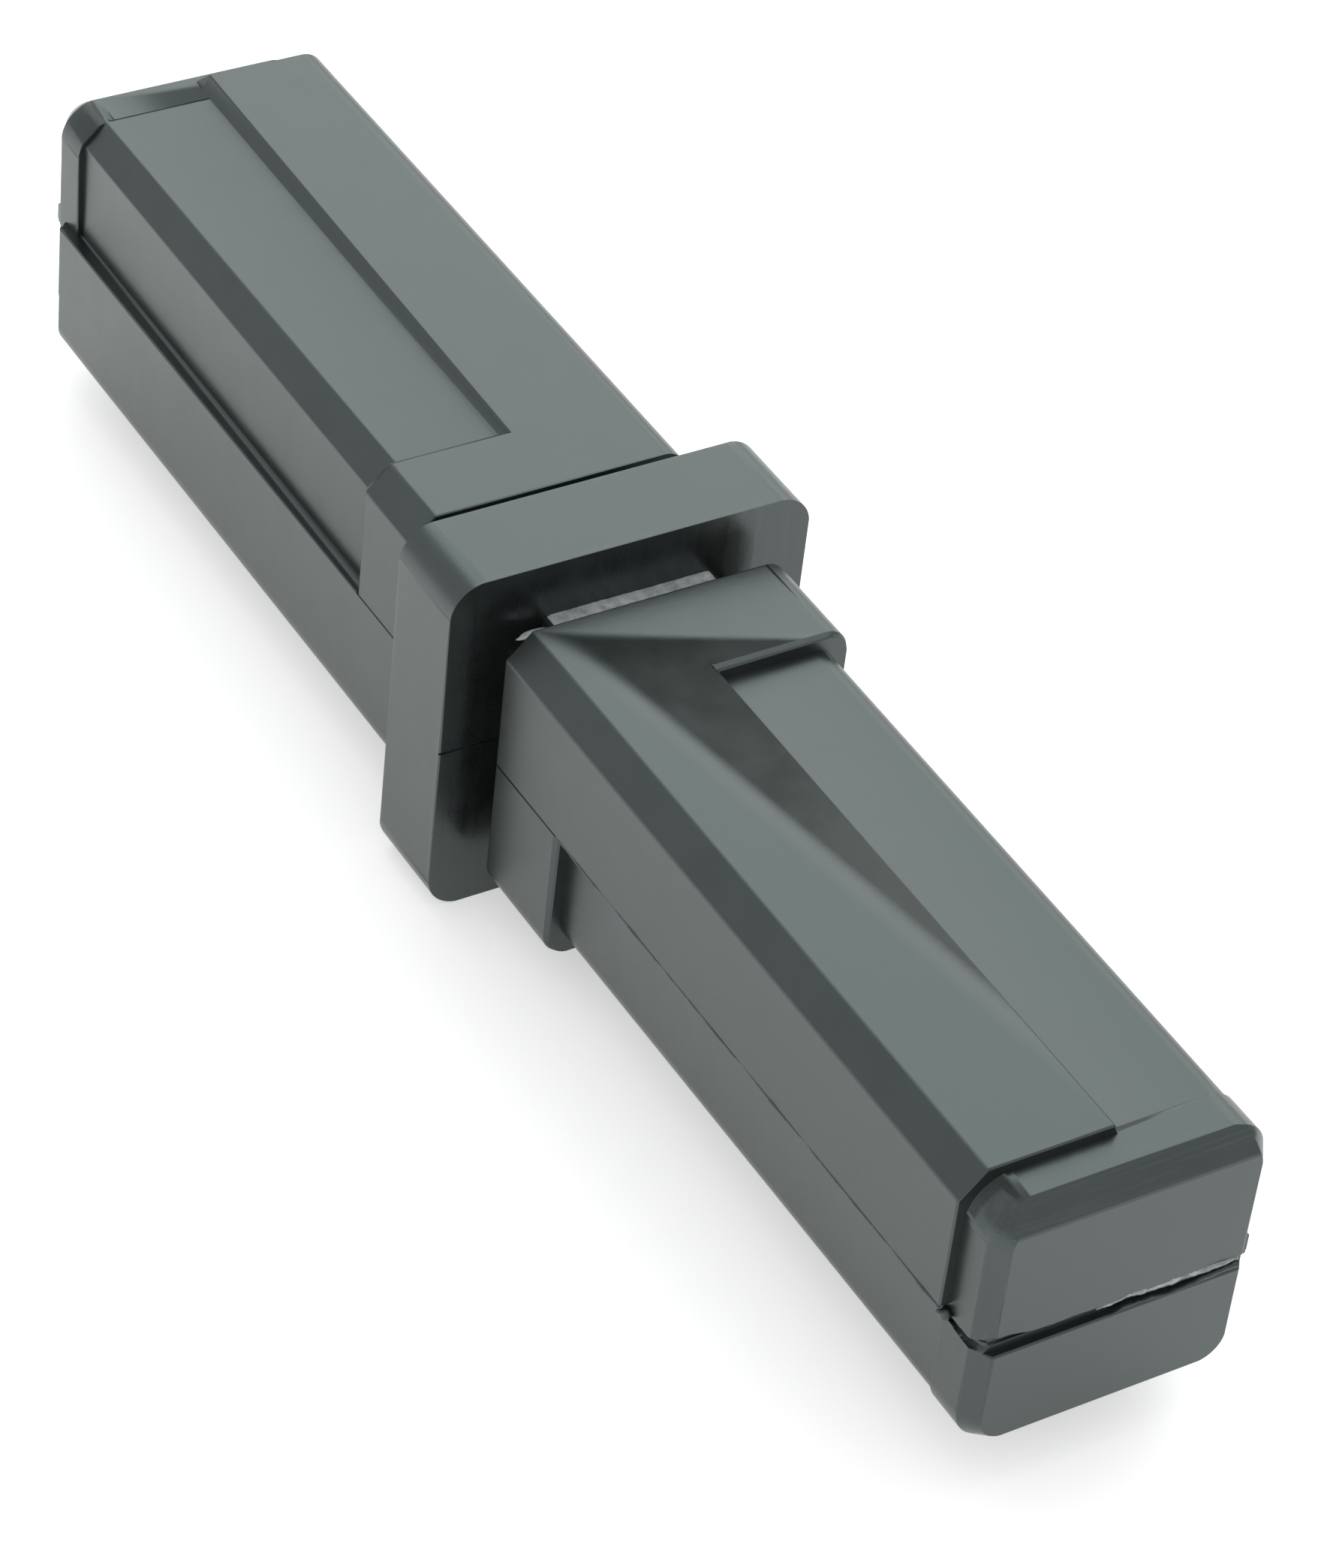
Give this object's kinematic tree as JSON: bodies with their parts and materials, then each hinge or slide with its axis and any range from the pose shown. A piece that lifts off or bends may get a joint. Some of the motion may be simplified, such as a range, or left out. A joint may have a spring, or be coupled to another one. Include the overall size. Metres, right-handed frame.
{
  "type": "square tube connector",
  "caption": "Straight black nylon connector for square tube: a square collar with a ribbed, tapered-tip plug leg on each side.",
  "frame": {"origin": "centre of the collar", "axes": "+X along the legs, +Z across the collar, normal to the parting plane; the part rests on the collar's -Z face"},
  "size_m": [0.1184, 0.025, 0.025],
  "materials": {
    "nylon": "matte, finely grained black nylon"
  },
  "bodies": {
    "root": {"connector": "nylon"}
  },
  "joints": []
}
